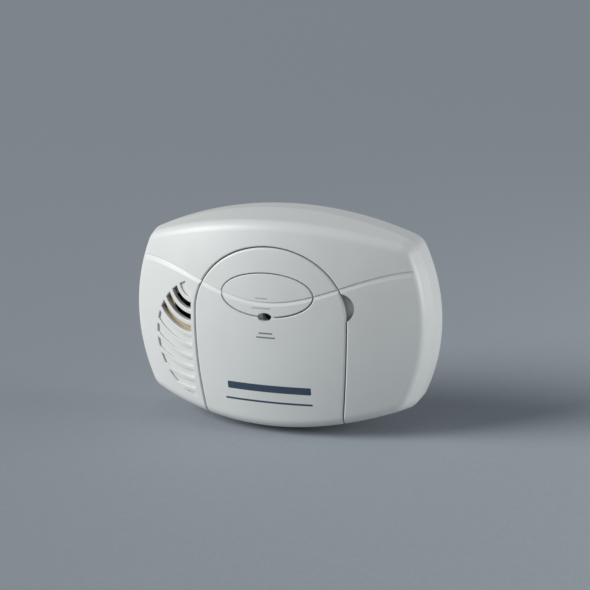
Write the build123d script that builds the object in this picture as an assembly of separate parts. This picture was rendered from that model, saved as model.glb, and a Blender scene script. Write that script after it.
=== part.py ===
from build123d import *
import os
from math import cos, pi, sqrt

# Battery-powered carbon monoxide alarm with a swing-open battery door and a wall bracket.
# Millimetres. +X is the alarm's right as seen from the front, +Z is up, and the front faces -Y.
# The origin is the centre of the bracket's wall face. "Depth" is the distance from the wall, -Y.

# Body envelope
WIDTH = 146.0
HEIGHT = 100.6
DEPTH = 40.0            # wall to the crown of the face
RIM_GAP = 0.5           # wall to the back edge of the front cover
CORNER_X = 64.0         # where the outline's four arcs would meet
CORNER_Z = 37.8
CORNER_R = 9.0
RIM_DEPTH = 12.0        # the sides are straight this far from the wall, then drafted
SIDE_DRAFT = 0.30       # mm inwards for each mm forwards, left and right
TOP_DRAFT = 0.15        # the same, top and bottom
FACE_RX = 145.0         # radius of the face's level sections
FACE_RZ = 192.0         # radius of its upright sections
CROWN_Z = -8.0          # height of the face's foremost point
EDGE_R = 6.0            # rounding between the face and the sides
WALL = 2.2
LIMIT = 46.0            # deeper than any point of the body
OVERSHOOT = 1.0         # how far a cutter runs past what it cuts
ROOT = 1.0              # how near the outer face posts and ribs run inside the skin
OVERLAP = 0.2           # how far two curved layers run into each other where they join
TOUCHING = 0.001

# Battery door
DOOR_X = 3.0            # middle of the door
DOOR_HALF_WIDTH = 36.5
DOOR_Z = 5.5            # where the half ellipse stands on the two side arcs
DOOR_RISE = 31.5
DOOR_SIDE_R = 394.0     # radius of the side arcs
DOOR_SKIN = 2.0
DOOR_DRAFT = 0.05
DOOR_GAP = 0.5
DOOR_EDGE_R = 1.0       # rounding of the door's outer edge
SEAM_EDGE_R = 0.5       # rounding of the cover's edge along the door
OVAL_EDGE_R = 0.35      # rounding round the button and its window
LIP_DEPTH = 26.0        # how near the wall the door's lower lip reaches
LIP_GAP = 1.0

# Door hinge
HINGE_X = -27.4
HINGE_DEPTH = 34.4
PIN_R = 0.75
PIN_BOTTOM = -20.0
PIN_TOP = 4.0
EAR_R = 1.5
EAR_THICK = 2.5
KNUCKLE_R = 1.7
KNUCKLE_BORE_R = 0.80
KNUCKLE_LENGTH = 5.0
HINGE_GAP = 0.3
EAR_WEB = 1.2           # how far the ears' arms reach in front of the pin
RELIEF_WIDE = 4.0       # the door is cut away this far beside each ear
RELIEF_BACK = 3.0
HINGE_WALL_DEEP = 8.0   # the wall that carries the ears starts this far behind the pin

# Snap that keeps the door shut
LATCH_X = 36.0
LATCH_THICK = 1.2
LATCH_BOTTOM = -12.0
LATCH_TOP = -4.0
LATCH_BACK = 29.5
BUMP_R = 0.5
BUMP_DEPTH = 30.5

# Test button
BUTTON_Z = 15.6
BUTTON_A = 21.9         # half axes of the door's oval window
BUTTON_B = 10.0
BUTTON_GAP = 0.55
BUTTON_SHIFT = 0.1      # the button sits this far up and left in its window
CAP_SKIN = 2.5
FLANGE = 1.5            # how far the button's flange reaches behind the door's skin
FLANGE_THICK = 1.2
FLANGE_GAP = 0.3
BUTTON_TRAVEL = 0.8
STEM_R = 2.0
STEM_BACK = 24.9        # depth of the stem's tip
COLLAR_GAP = 0.6
COLLAR_WALL = 1.2
COLLAR_DEEP = 6.6
RETAINER_THICK = 1.0
RETAINER_GAP = 0.4      # behind the pressed flange
RETAINER_PLAY = 0.1
RETAINER_BAND = 3.0     # how far the retainer reaches inwards from the oval
LIGHT_X = 2.8           # the notch that shows the indicator light
LIGHT_Z = 6.1
LIGHT_A = 3.4
LIGHT_B = 1.95
LIGHT_CLEAR = 2.3
LED_R = 1.5
LED_FLANGE_R = 1.9
LED_FLANGE = 1.0
LED_TALL = 4.0
LED_DOME_R = 1.0
PIPE_FRONT = 31.5       # depth of the light pipe's tip
PIPE_FLANGE_R = 2.4
PIPE_FLANGE_BACK = 25.0
PIPE_FLANGE_THICK = 1.6
PIPE_GAP = 0.2          # between the light pipe and the lens
PIPE_EDGE_R = 0.5

# Finger scoop beside the door
SCOOP_X = 35.6
SCOOP_Z = 11.0
SCOOP_R = 6.7
SCOOP_DEEP = 4.6
SCOOP_WALL = 1.2

# Styling line across the face, a shallow groove that runs out at the rounded sides
LINE_X = 2.5            # where the line is lowest
LINE_Z = 12.5
LINE_RISE = 14.2
LINE_SPAN = 66.0
LINE_REACH = 70.0
LINE_DEEP = 0.5
LINE_UPPER = 0.9        # slope of the groove's upper side, mm along the face for each mm of depth
LINE_LOWER = 2.4
LINE_OUTSIDE = 1.0      # how far in front of the face the cutter reaches
LINE_STATIONS = 15

# Sounder grille
GRILLE_X = -34.0        # common centre of the curved slots
GRILLE_Z = 19.0
SLOT_PITCH = 5.4
SLOT_WIDTH = 3.2
SLOT_FIRST_R = 6.6
SLOT_COUNT = 10
OPEN_SLOTS = (1, 2, 3)  # the others are blind grooves
GROOVE_DEEP = 0.9
SLOT_EDGE_R = 0.4
FIELD_X = -27.5         # circle that bounds the slots on the left
FIELD_Z = -8.7
FIELD_R = 29.0
FIELD_RIGHT = -35.6
PANEL_RIGHT = -34.9     # where the slotted panel joins the rest of the cover

# Sounder
SOUNDER_X = -50.0
SOUNDER_Z = 1.0
SOUNDER_R = 13.0
SOUNDER_FRONT = 21.4
SOUNDER_WALL = 1.2
MOUTH_X = -39.5         # the mouth is a circle cut off on the right, clear of the swinging door
MOUTH_Z = 6.5
MOUTH_R = 7.0
MOUTH_RIGHT = -35.7
MOUTH_WALL = 0.8
SOUND_HOLE_X = -44.5
SOUND_HOLE_R = 3.0
BAFFLE_X = -46.0
BAFFLE_Z = 3.0
BAFFLE_A = 11.6
BAFFLE_B = 13.5
BAFFLE_RIGHT = -34.7
BAFFLE_INSET = 2.6
BAFFLE_THICK = 1.0
NECK_INSET = BAFFLE_INSET + BAFFLE_THICK + 0.1     # the mouth's rim stops just behind the baffle
SOUNDER_FLOOR = 1.0
SEAT_THICK = 0.6
SEAT_WIDE = 1.0
PLATE_R = 10.0
PLATE_THICK = 0.2
WAFER_R = 7.0

# Inner tray with the battery bay
BAY_LEFT = -22.9
BAY_RIGHT = 31.0
BAY_BOTTOM = -39.8
BAY_TOP = -12.2
BAY_FLOOR = 15.8        # depth of the floor's front
TRAY_WALL = 1.5
DECK_DEEP = 10.0        # deck behind the face
DECK_THICK = 1.2
TRAY_FRONT = 2.6        # clearance of the bay's walls behind the face
DECK_BOTTOM = -13.0
STEM_HOLE_R = 3.8
LIGHT_HOLE_R = 1.8
DECK_LEGS = ((-23.0, 20.0), (31.0, 18.0))
LEG_R = 2.5
BAY_POSTS = ((-16.0, -34.0), (24.0, -34.0), (-16.0, -18.0), (24.0, -18.0))
POST_R = 2.0

# 9 V battery
BATTERY_LENGTH = 46.4
BATTERY_HEIGHT = 26.2
BATTERY_THICK = 17.2
BATTERY_PLAY = 0.3      # between the battery and the bay's left wall
BATTERY_LIFT = 0.2      # between the battery and the bay's floor
SNAP_PITCH = 12.7
SNAP_R = 2.9
SOCKET_R = 4.1
SOCKET_BORE_R = 3.2
SOCKET_FLOOR = 0.4
SNAP_HEIGHT = 2.4
JACKET_R = 2.0
END_THICK = 1.0
END_MARGIN = 0.4
CONTACT_GAP = 0.4       # between the snaps' tips and the contact plate
CONTACT_THICK = 1.4
CONTACT_TALL = 1.8
PLATE_MARGIN = 1.0
CLIP_WALL = 0.95
CLIP_GAP = 0.15
CLIP_FLOOR = 0.3
CONTACT_PLAY = 0.7
RIVET_R = 1.2
TAIL_WIDTH = 2.4        # tin-plated strip from each contact down to the board
TAIL_THICK = 0.4
TAIL_FRONT = 26.0
TAIL_GAP = 0.3

# Circuit board
BOARD_BACK = 12.0
BOARD_THICK = 1.6
BOARD_FRONT = BOARD_BACK + BOARD_THICK
BOARD_MARGIN = 7.0
SWITCH_SIZE = 6.0
SWITCH_BODY = 4.0
SWITCH_FLOOR = 1.0
SWITCH_CHAMFER = 0.5
PLUNGER_R = 1.7
PLUNGER_FRONT = 24.3
PLUNGER_GAP = 0.08
PLUNGER_CHAMFER = 0.3
PLUNGER_TRAVEL = 0.32

# Small parts on the board: middle x and z, then width, height and thickness
CONTROLLER = (22.0, 16.0, 9.6, 5.6, 1.7)
DRIVER = (-18.0, 12.0, 7.4, 4.4, 1.5)
CRYSTAL = (22.0, 26.0, 8.0, 3.2, 2.6)
LEG_PITCH = 1.27
LEG_WIDTH = 0.4
LEG_REACH = 0.9
LEG_TALL = 0.5
COIL = (-14.0, 26.0, 4.0, 6.0, 1.2)     # middle, radius, height and flange thickness
COIL_POST_R = 1.9
COIL_MARGIN = 0.5       # between the turns and the flanges' rims
CANS = ((13.0, 28.0, 3.1, 7.0), (39.0, 22.0, 2.5, 5.6))
RESISTORS = ([(8 + 3.4 * i, 9.5) for i in range(4)] + [(-30 + 3.4 * i, -24.0) for i in range(2)]
             + [(39 + 3.4 * i, -20.0) for i in range(4)] + [(-6, 20 + 2.6 * i) for i in range(3)])
CERAMICS = [(39 + 3.4 * i, -22.6) for i in range(4)]
RESISTOR_SIZE = (1.6, 0.8, 0.5)
CERAMIC_SIZE = (2.0, 1.25, 0.9)
DIODE_X = 40.0
DIODE_Z = -12.0
DIODE_R = 1.3
DIODE_LENGTH = 5.0

# Gas sensor
SENSOR_X = 52.0
SENSOR_Z = 1.0
SENSOR_R = 9.0
SENSOR_CAN = 5.2
SENSOR_STANDOFF = 0.6
SENSOR_CAP = 1.6
VENT_COUNT = 6
VENT_RING_R = 4.5
VENT_R = 0.9
PIN_SPREAD = 5.0
SENSOR_PIN_R = 0.5
SENSOR_PIN_END = 2.0    # how far the pins reach behind the board
CAN_EDGE_R = 0.8
CAP_MARGIN = 0.6
CAP_EDGE_R = 0.6
SEAL_BACK = 1.8
SEAL_TALL = 1.6
SEAL_THICK = 0.9

# Rear cover, screws and bracket
REAR_FACE = 3.0         # depth of the rear cover's outer face
REAR_WALL = 2.0
REAR_FIT = 0.25
REAR_FLANGE = 10.0
BOSS_X = 54.0
BOSS_Z = 28.0
BOSS_R = 3.0
BOSS_STEP_R = 4.2
BOSS_JOINT = 12.1
BOARD_GAP = 0.1         # between the board and the legs that hold it
BOSS_HOLE_GAP = 0.4     # round each boss where it passes the board
SCREW_BITE = 9.0
SCREW_R = 1.3
SCREW_GAP = 0.05
SCREW_HEAD_R = 2.6
SCREW_HEAD_H = 1.6
HEAD_GAP = 0.3
SHANK_GAP = 0.2
SCREW_LENGTH = 14.0
BRACKET_WIDTH = 112.0
BRACKET_HEIGHT = 66.0
BRACKET_THICK = 1.8
BRACKET_CORNER = 8.0
HOOK_X = 36.0
HOOK_Z = 19.0
HOOK_WIDTH = 7.0
HOOK_LIP = 5.0
HOOK_POST = 3.0
HANG_GAP = 0.15
LIFT = 6.0              # how far the alarm slides up before it comes off the hooks
WINDOW_WIDTH = 34.0     # openings that lighten the bracket
WINDOW_HEIGHT = 14.0
WINDOW_Z = 18.0
WINDOW_R = 3.0
RIB_THICK = 1.2         # ribs on the bracket's alarm side
RIB_TALL = 0.8
PAD_MARGIN = 2.0        # raised pad round each wall screw's slot
HOOK_GAP = 0.3
HOOK_THICK = 1.7
HOOK_PLAY = 0.5
SCREW_SEAT = REAR_FACE + 1.0
CROSS_LONG = 1.4
CROSS_THIN = 0.3
CROSS_DEEP = 0.9
VENT_ROWS = 5
VENT_PITCH = 6.0
VENT_X = 52.0
VENT_LENGTH = 12.0
VENT_WIDTH = 2.2
LABEL_WIDTH = 46.0
LABEL_HEIGHT = 30.0
LABEL_R = 2.0
LABEL_THICK = 0.15
SLOT_SPACING = 60.0
SCREW_SLOT_R = 2.1
SCREW_SLOT_LENGTH = 9.0


def at(depth):
    """The upright plane this far from the wall, with X to the right and Z up."""
    return Plane.XZ.offset(depth)


def prism(sketch, back, front):
    """Extrude an upright outline from one depth to another."""
    return extrude(at(back) * sketch, amount=front - back)


def block(left, right, bottom, top, back, front):
    """A box given by its six faces, back and front being depths."""
    shape = Box(right - left, front - back, top - bottom)
    return Pos((left + right) / 2, -(back + front) / 2, (bottom + top) / 2) * shape


def disc(x, z, radius, back, front):
    return prism(Pos(x, z) * Circle(radius), back, front)


def body_outline(depth, inset):
    """Section of the body: four shallow arcs that meet in rounded corners."""
    drafted = max(depth - RIM_DEPTH, 0.0)
    across = 1 - SIDE_DRAFT * drafted / (WIDTH / 2)
    upright = 1 - TOP_DRAFT * drafted / (HEIGHT / 2)
    half_width = across * WIDTH / 2 - inset
    half_height = upright * HEIGHT / 2 - inset
    corner_x = across * CORNER_X - inset
    corner_z = upright * CORNER_Z - inset
    sides = [
        ThreePointArc((-corner_x, corner_z), (0, half_height), (corner_x, corner_z)),
        ThreePointArc((corner_x, corner_z), (half_width, 0), (corner_x, -corner_z)),
        ThreePointArc((corner_x, -corner_z), (0, -half_height), (-corner_x, -corner_z)),
        ThreePointArc((-corner_x, -corner_z), (-half_width, 0), (-corner_x, corner_z)),
    ]
    face = make_face(sides)
    return fillet(face.vertices(), max(CORNER_R - inset, 1.0))


def face_barrel(inset):
    """The body of revolution whose front is the face, bulging both ways."""
    axis_y = FACE_RX - DEPTH
    reach = HEIGHT

    def radius(z):
        sagitta = FACE_RZ - sqrt((FACE_RZ - inset) ** 2 - (z - CROWN_Z) ** 2)
        return FACE_RX - sagitta

    low, high = CROWN_Z - reach, CROWN_Z + reach
    arc = ThreePointArc((radius(low), low), (radius(CROWN_Z), CROWN_Z), (radius(high), high))
    rest = Polyline((radius(high), high), (0, high), (0, low), (radius(low), low))
    profile = at(-axis_y) * make_face([arc, rest])
    return revolve(profile, Axis((0, axis_y, 0), (0, 0, -1)), 180)


def envelope(inset, back):
    """The body's outer form, shrunk by inset on every side except the open back."""
    rim = prism(body_outline(0, inset), back, RIM_DEPTH)
    tapered = loft([at(RIM_DEPTH) * body_outline(RIM_DEPTH, inset),
                    at(LIMIT) * body_outline(LIMIT, inset)], ruled=True)
    body = (rim + tapered) & face_barrel(inset)
    front = body.faces().sort_by(Axis.Y)[0]
    return fillet(front.edges(), max(EDGE_R - inset, 0.6))


FORMS = {}


def form(inset):
    """The envelope with this inset, made once and kept."""
    key = round(inset, 2)
    if key not in FORMS:
        FORMS[key] = envelope(inset, RIM_GAP if key == 0 else -5.0)
    return FORMS[key]


def door_outline(grow):
    """Half ellipse on two shallow side arcs that run past the bottom of the body."""
    half = DOOR_HALF_WIDTH + grow
    foot_z = -HEIGHT / 2 - 10
    drop = DOOR_Z - foot_z
    side_r = DOOR_SIDE_R + grow
    inwards = side_r - sqrt(side_r ** 2 - drop ** 2)
    middle = side_r - sqrt(side_r ** 2 - (drop / 2) ** 2)
    top = EllipticalCenterArc((DOOR_X, DOOR_Z), half, DOOR_RISE + grow, start_angle=0, arc_size=180)
    left = ThreePointArc((DOOR_X - half, DOOR_Z), (DOOR_X - half + middle, DOOR_Z - drop / 2),
                         (DOOR_X - half + inwards, foot_z))
    foot = Line((DOOR_X - half + inwards, foot_z), (DOOR_X + half - inwards, foot_z))
    right = ThreePointArc((DOOR_X + half - inwards, foot_z),
                          (DOOR_X + half - middle, DOOR_Z - drop / 2), (DOOR_X + half, DOOR_Z))
    return make_face([top, left, foot, right])


def door_prism(grow, back):
    """The door's column, narrower towards the wall so that the door can swing out."""
    narrow = (LIMIT - back) * DOOR_DRAFT
    return loft([at(back) * door_outline(grow - narrow), at(LIMIT) * door_outline(grow)],
                ruled=True)


def edges_where(part, first, second):
    """The edges that lie on the surfaces of two other solids."""
    skins = [second.shells()[0], first.shells()[0]]
    return [edge for edge in part.edges()
            if all(Vertex(edge @ 0.5).distance_to(skin) < TOUCHING for skin in skins)]


def button_oval(grow):
    return Pos(DOOR_X, BUTTON_Z) * Ellipse(BUTTON_A + grow, BUTTON_B + grow)


def light_notch(back, front, grow=0.0):
    oval = Pos(LIGHT_X, LIGHT_Z) * Ellipse(LIGHT_A + grow, LIGHT_B + grow)
    return prism(oval, back, front)


def face_depth(x, z):
    """Distance of the face from the wall at this place, before its edges are rounded."""
    radius = FACE_RX - FACE_RZ + sqrt(FACE_RZ ** 2 - (z - CROWN_Z) ** 2)
    return DEPTH - FACE_RX + sqrt(radius ** 2 - x ** 2)


def line_cut():
    """Cutter for the styling line: a long wedge that follows the line and the bow of the face."""
    sections = []
    for station in range(LINE_STATIONS):
        x = LINE_REACH * (2 * station / (LINE_STATIONS - 1) - 1)
        z = LINE_Z + LINE_RISE * (1 - cos(pi * (x - LINE_X) / LINE_SPAN)) / 2
        bottom = face_depth(x, z) - LINE_DEEP
        outside = bottom + LINE_DEEP + LINE_OUTSIDE
        run = outside - bottom
        corners = [(-bottom, z), (-outside, z + LINE_UPPER * run), (-outside, z - LINE_LOWER * run)]
        sections.append(Plane.YZ.offset(x) * make_face(Polyline(*corners, close=True)))
    return loft(sections)


def grille_slot(number):
    """Outline of one curved slot between the left field circle and the door."""
    radius = SLOT_FIRST_R + SLOT_PITCH * number
    ring = Circle(radius + SLOT_WIDTH / 2) - Circle(radius - SLOT_WIDTH / 2)
    field = Pos(FIELD_X, FIELD_Z) * Circle(FIELD_R)
    left_part = Pos(FIELD_RIGHT - WIDTH / 2, 0) * Rectangle(WIDTH, HEIGHT)
    slot = (Pos(GRILLE_X, GRILLE_Z) * ring) & field & left_part
    lower = Pos(FIELD_X, FIELD_Z) * Pos(0, -FIELD_R) * Rectangle(4 * FIELD_R, 4 * FIELD_R)
    return (slot & lower).faces().sort_by(Axis.X)[0]


def shell(outer, inner, sketch):
    """The part of a curved skin, between two insets of the face, inside an outline."""
    column = prism(sketch, RIM_DEPTH, LIMIT)
    return (form(outer) & column) - form(inner)


def grille_panel(side):
    """The cover's left end, with the grille's slots and grooves, their front edges rounded."""
    panel = (form(0.0) - form(WALL)) & side
    grooves = form(0.0) - form(GROOVE_DEEP)
    for number in range(SLOT_COUNT):
        cutter = prism(grille_slot(number), RIM_DEPTH, LIMIT)
        panel -= cutter if number in OPEN_SLOTS else cutter & grooves
        panel = fillet(edges_where(panel, form(0.0), cutter), SLOT_EDGE_R)
    return panel


def front_cover():
    opening = door_prism(DOOR_GAP, LIP_DEPTH - LIP_GAP)
    skin = form(0.0) - form(WALL)
    skin -= opening & skin
    seam = [edge for edge in edges_where(skin, form(0.0), opening) if (edge @ 0.5).Y < -LIP_DEPTH - 2]
    skin = fillet(seam, SEAM_EDGE_R)
    side = block(-WIDTH, PANEL_RIGHT, -HEIGHT, HEIGHT, 0, LIMIT)
    skin = (skin - side) + grille_panel(side)
    cup_wall = (Pos(SCOOP_X, SCOOP_Z) * Circle(SCOOP_R + SCOOP_WALL)) - door_outline(DOOR_GAP)
    cup = shell(WALL - OVERLAP, SCOOP_DEEP + SCOOP_WALL, cup_wall)
    floor = shell(SCOOP_DEEP, SCOOP_DEEP + SCOOP_WALL,
                  Pos(SCOOP_X, SCOOP_Z) * Circle(SCOOP_R + SCOOP_WALL))
    column = Pos(SCOOP_X, SCOOP_Z) * Circle(SCOOP_R)
    scoop = prism(column, RIM_DEPTH, LIMIT) - form(SCOOP_DEEP)
    cover = skin + cup + floor - scoop
    for x, z in at_bosses():
        cover += disc(x, z, BOSS_R, BOSS_JOINT, LIMIT) & form(ROOT)
        cover += disc(x, z, BOSS_STEP_R, BOARD_FRONT + BOARD_GAP, LIMIT) & form(ROOT)
        cover -= disc(x, z, SCREW_R + SCREW_GAP, BOSS_JOINT, BOSS_JOINT + SCREW_BITE)
    return cover - line_cut()


def hinge_disc(radius, bottom, top):
    """A round bar on the door's hinge axis."""
    return Pos(HINGE_X, -HINGE_DEPTH, (bottom + top) / 2) * Cylinder(radius, top - bottom)


def hinge_layers():
    """Heights of the two ears and the two knuckles, as (bottom, top) pairs."""
    low_ear = (PIN_BOTTOM, PIN_BOTTOM + EAR_THICK)
    high_ear = (PIN_TOP - EAR_THICK, PIN_TOP)
    low = low_ear[1] + HINGE_GAP
    high = high_ear[0] - HINGE_GAP
    return [low_ear, high_ear], [(low, low + KNUCKLE_LENGTH), (high - KNUCKLE_LENGTH, high)]


def battery_door():
    column = door_prism(0, LIP_DEPTH)
    skin = (form(0.0) - form(DOOR_SKIN)) & column
    skin = fillet(edges_where(skin, form(0.0), column), DOOR_EDGE_R)
    window = prism(button_oval(0), RIM_DEPTH, LIMIT)
    skin -= window
    skin = fillet(edges_where(skin, form(0.0), window), OVAL_EDGE_R)
    collar = shell(DOOR_SKIN - OVERLAP, COLLAR_DEEP,
                   button_oval(FLANGE + COLLAR_GAP + COLLAR_WALL) - button_oval(FLANGE + COLLAR_GAP))
    door = skin + collar
    ears, knuckles = hinge_layers()
    for bottom, top in knuckles:
        root = block(HINGE_X - KNUCKLE_R, HINGE_X + KNUCKLE_R, bottom, top, HINGE_DEPTH, LIMIT)
        door += (hinge_disc(KNUCKLE_R, bottom, top) + root) & form(ROOT)
        door -= hinge_disc(KNUCKLE_BORE_R, bottom - OVERSHOOT, top + OVERSHOOT)
    for bottom, top in ears:
        low, high = bottom - HINGE_GAP, top + HINGE_GAP
        clear = EAR_R + HINGE_GAP
        door -= hinge_disc(clear, low, high)
        door -= block(HINGE_X, HINGE_X + RELIEF_WIDE, low, high,
                      HINGE_DEPTH - RELIEF_BACK, HINGE_DEPTH + clear)
    latch = block(LATCH_X, LATCH_X + LATCH_THICK, LATCH_BOTTOM, LATCH_TOP, LATCH_BACK, LIMIT)
    bump_z = (LATCH_BOTTOM + LATCH_TOP) / 2
    bump = Pos(LATCH_X, -BUMP_DEPTH, bump_z) * Cylinder(BUMP_R, LATCH_TOP - LATCH_BOTTOM)
    door += (latch & form(ROOT)) + bump
    door -= light_notch(RIM_DEPTH, LIMIT)
    return door - line_cut()


def hinge_pin():
    return hinge_disc(PIN_R, PIN_BOTTOM, PIN_TOP)


def test_button():
    shift = Pos(-BUTTON_SHIFT, BUTTON_SHIFT)
    column = prism(shift * button_oval(-BUTTON_GAP), RIM_DEPTH, LIMIT)
    cap = (form(0.0) - form(CAP_SKIN)) & column
    cap -= light_notch(RIM_DEPTH, LIMIT)
    cap = fillet(edges_where(cap, form(0.0), column), OVAL_EDGE_R)
    flange = shell(DOOR_SKIN + FLANGE_GAP, DOOR_SKIN + FLANGE_GAP + FLANGE_THICK, button_oval(FLANGE))
    stem = disc(DOOR_X, BUTTON_Z, STEM_R, STEM_BACK, LIMIT) & form(ROOT)
    button = cap + flange + stem
    button -= disc(LIGHT_X, LIGHT_Z, LIGHT_CLEAR, RIM_DEPTH, LIMIT) & form(DOOR_SKIN)
    return button - line_cut()


def button_retainer():
    """Ring that keeps the button in the door's collar."""
    front = DOOR_SKIN + FLANGE_GAP + FLANGE_THICK + BUTTON_TRAVEL + RETAINER_GAP
    ring = button_oval(FLANGE + COLLAR_GAP - RETAINER_PLAY) - button_oval(-RETAINER_BAND)
    ring -= Pos(LIGHT_X, LIGHT_Z) * Circle(LIGHT_CLEAR)
    return shell(front, front + RETAINER_THICK, ring)


def battery_tray():
    """Inner chassis: battery bay, deck with the switch and light holes, and the hinge ears."""
    left, right = BAY_LEFT - TRAY_WALL, BAY_RIGHT + TRAY_WALL
    bottom, top = BAY_BOTTOM - TRAY_WALL, BAY_TOP + TRAY_WALL
    bay = block(left, right, bottom, top, BAY_FLOOR - TRAY_WALL, LIMIT) & form(TRAY_FRONT)
    upper = door_outline(0) & (Pos(DOOR_X, DECK_BOTTOM + HEIGHT / 2) * Rectangle(WIDTH, HEIGHT))
    deck = shell(DECK_DEEP, DECK_DEEP + DECK_THICK, upper)
    hinge_wall = block(left, BAY_LEFT, BAY_TOP, PIN_TOP + OVERSHOOT, HINGE_DEPTH - HINGE_WALL_DEEP, LIMIT)
    tray = bay + deck + (hinge_wall & form(TRAY_FRONT))
    tray -= block(BAY_LEFT, BAY_RIGHT, BAY_BOTTOM, BAY_TOP, BAY_FLOOR, LIMIT)
    tray -= disc(DOOR_X, BUTTON_Z, STEM_HOLE_R, RIM_DEPTH, LIMIT)
    tray -= disc(LIGHT_X, LIGHT_Z, LIGHT_HOLE_R, RIM_DEPTH, LIMIT)
    for x, z in DECK_LEGS:
        tray += disc(x, z, LEG_R, BOARD_FRONT + BOARD_GAP, LIMIT) & form(DECK_DEEP + OVERLAP)
    for x, z in BAY_POSTS:
        tray += disc(x, z, POST_R, BOARD_FRONT + BOARD_GAP, BAY_FLOOR - 0.5)
    for slot in contact_tails(TAIL_GAP):
        tray -= slot
    ears, _ = hinge_layers()
    for low, high in ears:
        arm = block(HINGE_X, left + OVERLAP, low, high, HINGE_DEPTH - EAR_R, HINGE_DEPTH + EAR_WEB)
        tray += hinge_disc(EAR_R, low, high) + arm
        tray -= hinge_disc(PIN_R, low, high)
    return tray


def battery_box():
    """The battery's six faces, as (left, right, bottom, top, back, front)."""
    middle_z = (BAY_TOP + BAY_BOTTOM) / 2
    left = BAY_LEFT + BATTERY_PLAY
    back = BAY_FLOOR + BATTERY_LIFT
    return (left, left + BATTERY_LENGTH, middle_z - BATTERY_HEIGHT / 2,
            middle_z + BATTERY_HEIGHT / 2, back, back + BATTERY_THICK)


def contact_places():
    """Face of the contact plate towards the battery, and the heights of its two contacts."""
    _, right, bottom, top, _, _ = battery_box()
    middle_z = (bottom + top) / 2
    return right + SNAP_HEIGHT + CONTACT_GAP, (middle_z + SNAP_PITCH / 2, middle_z - SNAP_PITCH / 2)


def contact_tails(clearance):
    """Flat strips behind the contact plate that carry the current down to the board."""
    plate_x, heights = contact_places()
    x = plate_x + CONTACT_THICK
    half = TAIL_WIDTH / 2 + clearance
    return [block(x - clearance, x + TAIL_THICK + clearance, z - half, z + half,
                  BOARD_FRONT, TAIL_FRONT) for z in heights]


def battery_parts():
    """A 9 V battery lying in the bay with its snaps to the right, and what they press on."""
    left, right, bottom, top, back, front = battery_box()
    jacket = block(left, right - END_THICK, bottom, top, back, front)
    jacket = fillet(jacket.edges().filter_by(Axis.X), JACKET_R)
    end_plate = block(right - END_THICK, right, bottom + END_MARGIN, top - END_MARGIN,
                      back + END_MARGIN, front - END_MARGIN)
    end_plate = fillet(end_plate.edges().filter_by(Axis.X), JACKET_R - END_MARGIN)
    middle_y = -(back + front) / 2
    plate_x, (high, low) = contact_places()
    side = Rot(0, 90, 0)
    snap_x = right + SNAP_HEIGHT / 2
    stud = Pos(snap_x, middle_y, high) * side * Cylinder(SNAP_R, SNAP_HEIGHT)
    bore = Pos(0, 0, SOCKET_FLOOR) * Cylinder(SOCKET_BORE_R, SNAP_HEIGHT)
    socket = Pos(snap_x, middle_y, low) * side * (Cylinder(SOCKET_R, SNAP_HEIGHT) - bore)
    plate = block(plate_x, plate_x + CONTACT_THICK, bottom + PLATE_MARGIN, top - PLATE_MARGIN,
                  back + BOARD_GAP, front - PLATE_MARGIN)
    for z in (high, low):
        rivet = Pos(plate_x + CONTACT_THICK / 2, middle_y, z) * side
        plate -= rivet * Cylinder(RIVET_R, 2 * CONTACT_THICK)
    clip_r = SNAP_R + CLIP_GAP
    clip = Cylinder(clip_r + CLIP_WALL, CONTACT_TALL) - Cylinder(clip_r, CONTACT_TALL)
    clip += Pos(0, 0, (CONTACT_TALL - CLIP_FLOOR) / 2) * Cylinder(clip_r + CLIP_WALL, CLIP_FLOOR)
    button = Cylinder(SOCKET_BORE_R - CONTACT_PLAY, CONTACT_TALL)
    contacts = []
    for z, shape, tail in zip((high, low), (clip, button), contact_tails(0)):
        contact = Pos(plate_x - CONTACT_TALL / 2, middle_y, z) * side * shape
        rivet_x = plate_x + CONTACT_THICK / 2
        contact += Pos(rivet_x, middle_y, z) * side * Cylinder(RIVET_R, CONTACT_THICK)
        contacts.append(contact + tail)
    return jacket, end_plate, stud, socket, plate, contacts[0], contacts[1]


def main_circuit_board():
    board = prism(body_outline(BOARD_BACK, BOARD_MARGIN), BOARD_BACK, BOARD_FRONT)
    for x, z in at_bosses():
        board -= disc(x, z, BOSS_R + BOSS_HOLE_GAP, BOARD_BACK - OVERSHOOT, BOARD_FRONT + OVERSHOOT)
    for x in (-PIN_SPREAD, PIN_SPREAD):
        board -= disc(SENSOR_X + x, SENSOR_Z, SENSOR_PIN_R + BOARD_GAP,
                      BOARD_BACK - OVERSHOOT, BOARD_FRONT + OVERSHOOT)
    return board


def switch_body():
    half = SWITCH_SIZE / 2
    body = block(DOOR_X - half, DOOR_X + half, BUTTON_Z - half, BUTTON_Z + half,
                 BOARD_FRONT, BOARD_FRONT + SWITCH_BODY)
    body = chamfer(body.edges().filter_by(Axis.Y), SWITCH_CHAMFER)
    return body - disc(DOOR_X, BUTTON_Z, PLUNGER_R + PLUNGER_GAP, BOARD_FRONT + SWITCH_FLOOR, LIMIT)


def switch_plunger():
    back = BOARD_FRONT + SWITCH_FLOOR + PLUNGER_TRAVEL + PLUNGER_GAP
    stem = disc(DOOR_X, BUTTON_Z, PLUNGER_R, back, PLUNGER_FRONT)
    return chamfer(stem.edges().sort_by(Axis.Y)[0], PLUNGER_CHAMFER)


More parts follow.
